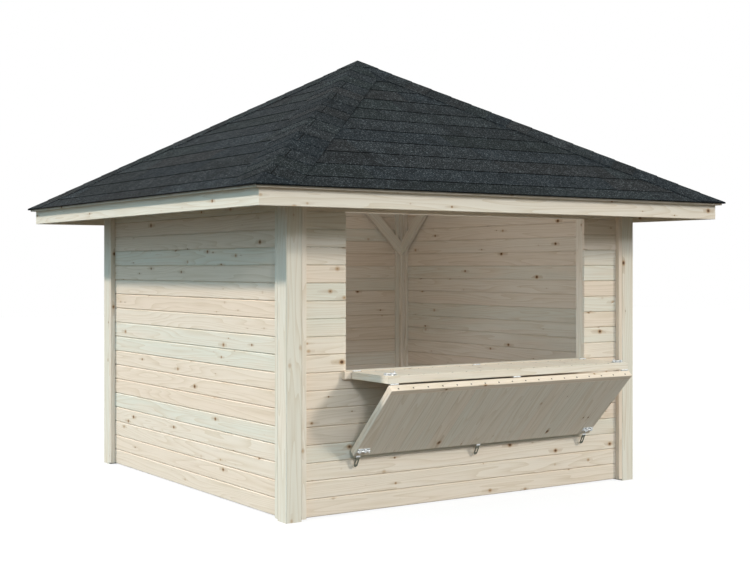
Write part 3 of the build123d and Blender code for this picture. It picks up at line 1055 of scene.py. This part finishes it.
# Stage: a pale floor that keeps the stall's shadow. For the rays that seenRays picks out it
# glows, so it meets the white background, and for the stall it is a grey ground.
stage = {
    "size": 60.0,
    "stations": 9,
    "seen": "#FFFFFF",
    "ground": "#45433C",
    "glow": 0.86,
    "shadowShare": 0.16,
}
material, tree = newMaterial("matPaintedFloor")
shadowGrey = (*[stage["shadowShare"]] * 3, 1)
seenDiffuse = addNode(tree, "BsdfDiffuse", {"Color": shadowGrey}).outputs[0]
glow = {"Color": linearColour(stage["seen"]), "Strength": stage["glow"]}
seenGlow = addNode(tree, "Emission", glow).outputs[0]
seenFloor = addNode(tree, "AddShader", {0: seenDiffuse, 1: seenGlow}).outputs[0]
ground = addNode(tree, "BsdfDiffuse", {"Color": linearColour(stage["ground"])}).outputs[0]
closeMaterial(tree, addNode(tree, "MixShader", {0: seenRays(tree), 1: ground, 2: seenFloor}))
count = stage["stations"]
reach = np.linspace(-stage["size"] / 2, stage["size"] / 2, count)
gridX, gridY = np.meshgrid(reach, reach)
spots = np.stack([gridX.ravel(), gridY.ravel(), np.zeros(count * count)], axis=1)
cells = (np.arange(count - 1)[:, None] * count + np.arange(count - 1)).ravel()
squares = np.stack([cells, cells + 1, cells + count + 1, cells + count], axis=1)
mesh = bpy.data.meshes.new("studioFloor")
mesh.from_pydata(spots, [], squares.tolist())
mesh.materials.append(material)
floor = bpy.data.objects.new("studioFloor", mesh)
bpy.context.scene.collection.objects.link(floor)

# Light: a soft key from the front right, a stronger and crisper sun high behind the left side,
# a low cool fill from the front left that gives the flap's shadow its second step, and a soft
# sky, cooler on the left. The suns' angles are in degrees.
lights = {
    "key": {"toLight": (0.468, -0.749, 0.469), "strength": 1.3, "angle": 9, "colour": "#FFFAF2"},
    "side": {"toLight": (-0.603, 0.454, 0.656), "strength": 2.9, "angle": 3.5, "colour": "#FFF1E4"},
    "fill": {"toLight": (-0.27, -0.9, 0.345), "strength": 0.72, "angle": 8, "colour": "#F4F7FF"},
}
for name, spec in lights.items():
    lamp = bpy.data.lights.new(f"{name}Lamp", "SUN")
    lamp.energy, lamp.angle = spec["strength"], math.radians(spec["angle"])
    lamp.color = linearColour(spec["colour"])[:3]
    thing = bpy.data.objects.new(f"{name}Lamp", lamp)
    away = -np.array(spec["toLight"])
    # a sun shines down its own -Z: tilted off the vertical, then swung round to the compass way
    tilt = math.atan2(math.hypot(away[0], away[1]), -away[2])
    thing.rotation_euler = (tilt, 0, math.atan2(away[1], away[0]) - math.pi / 2)
    bpy.context.scene.collection.objects.link(thing)

# A round lamp inside evens out what the hatch lets in
insideLamp = {"place": (-0.35, -0.55, 1.45), "watts": 25.0, "radius": 0.45, "colour": "#F2F8FF"}
lamp = bpy.data.lights.new("insideLamp", "POINT")
lamp.energy, lamp.shadow_soft_size = insideLamp["watts"], insideLamp["radius"]
lamp.color = linearColour(insideLamp["colour"])[:3]
thing = bpy.data.objects.new("insideLamp", lamp)
thing.location = insideLamp["place"]
thing.visible_camera = thing.visible_glossy = False
bpy.context.scene.collection.objects.link(thing)

# Sky: cool on the left and warm on the right, brighter above than at the horizon. The rays
# that seenRays picks out meet plain white instead.
sky = {"cool": "#C8EEFF", "warm": "#C2BFB2", "horizon": 0.72, "above": 1.6}
world = bpy.data.worlds.new("studio")
bpy.context.scene.world = world
world.use_nodes = True
tree = world.node_tree
tree.nodes.clear()
direction = addNode(tree, "TexCoord").outputs["Generated"]
direction = addNode(tree, "SeparateXYZ", {0: direction}).outputs
leftToRight = ranged(tree, direction["X"], -1, 1)
skyColour = ramped(tree, leftToRight, [(0.08, sky["cool"]), (0.58, sky["warm"])])
skyStrength = ranged(tree, direction["Z"], 0.05, 0.48, sky["horizon"], sky["above"])
softSky = addNode(tree, "Background", {"Color": skyColour, "Strength": skyStrength}).outputs[0]
whiteSky = addNode(tree, "Background", {"Color": (1, 1, 1, 1), "Strength": 1.0}).outputs[0]
chosen = addNode(tree, "MixShader", {0: seenRays(tree), 1: softSky, 2: whiteSky})
addNode(tree, "OutputWorld", {"Surface": chosen.outputs[0]})

# Camera: level, eye height, turned from the front to the right; the shift drops the view's
# middle as in the photograph
camera = {"place": (-5.272, -8.135, 1.550), "turn": 33.735, "lens": 60.85, "shiftDown": 0.01841}
lens = bpy.data.cameras.new("viewCamera")
lens.sensor_width, lens.lens = 36, camera["lens"]
lens.shift_y = -camera["shiftDown"]
lens.clip_end = 200
eye = bpy.data.objects.new("viewCamera", lens)
eye.location = camera["place"]
eye.rotation_euler = (math.pi / 2, 0, -math.radians(camera["turn"]))
bpy.context.scene.collection.objects.link(eye)
bpy.context.scene.camera = eye
bpy.context.scene.view_settings.view_transform = "Standard"
print("stage, light and camera ready")

bpy.context.view_layer.update()
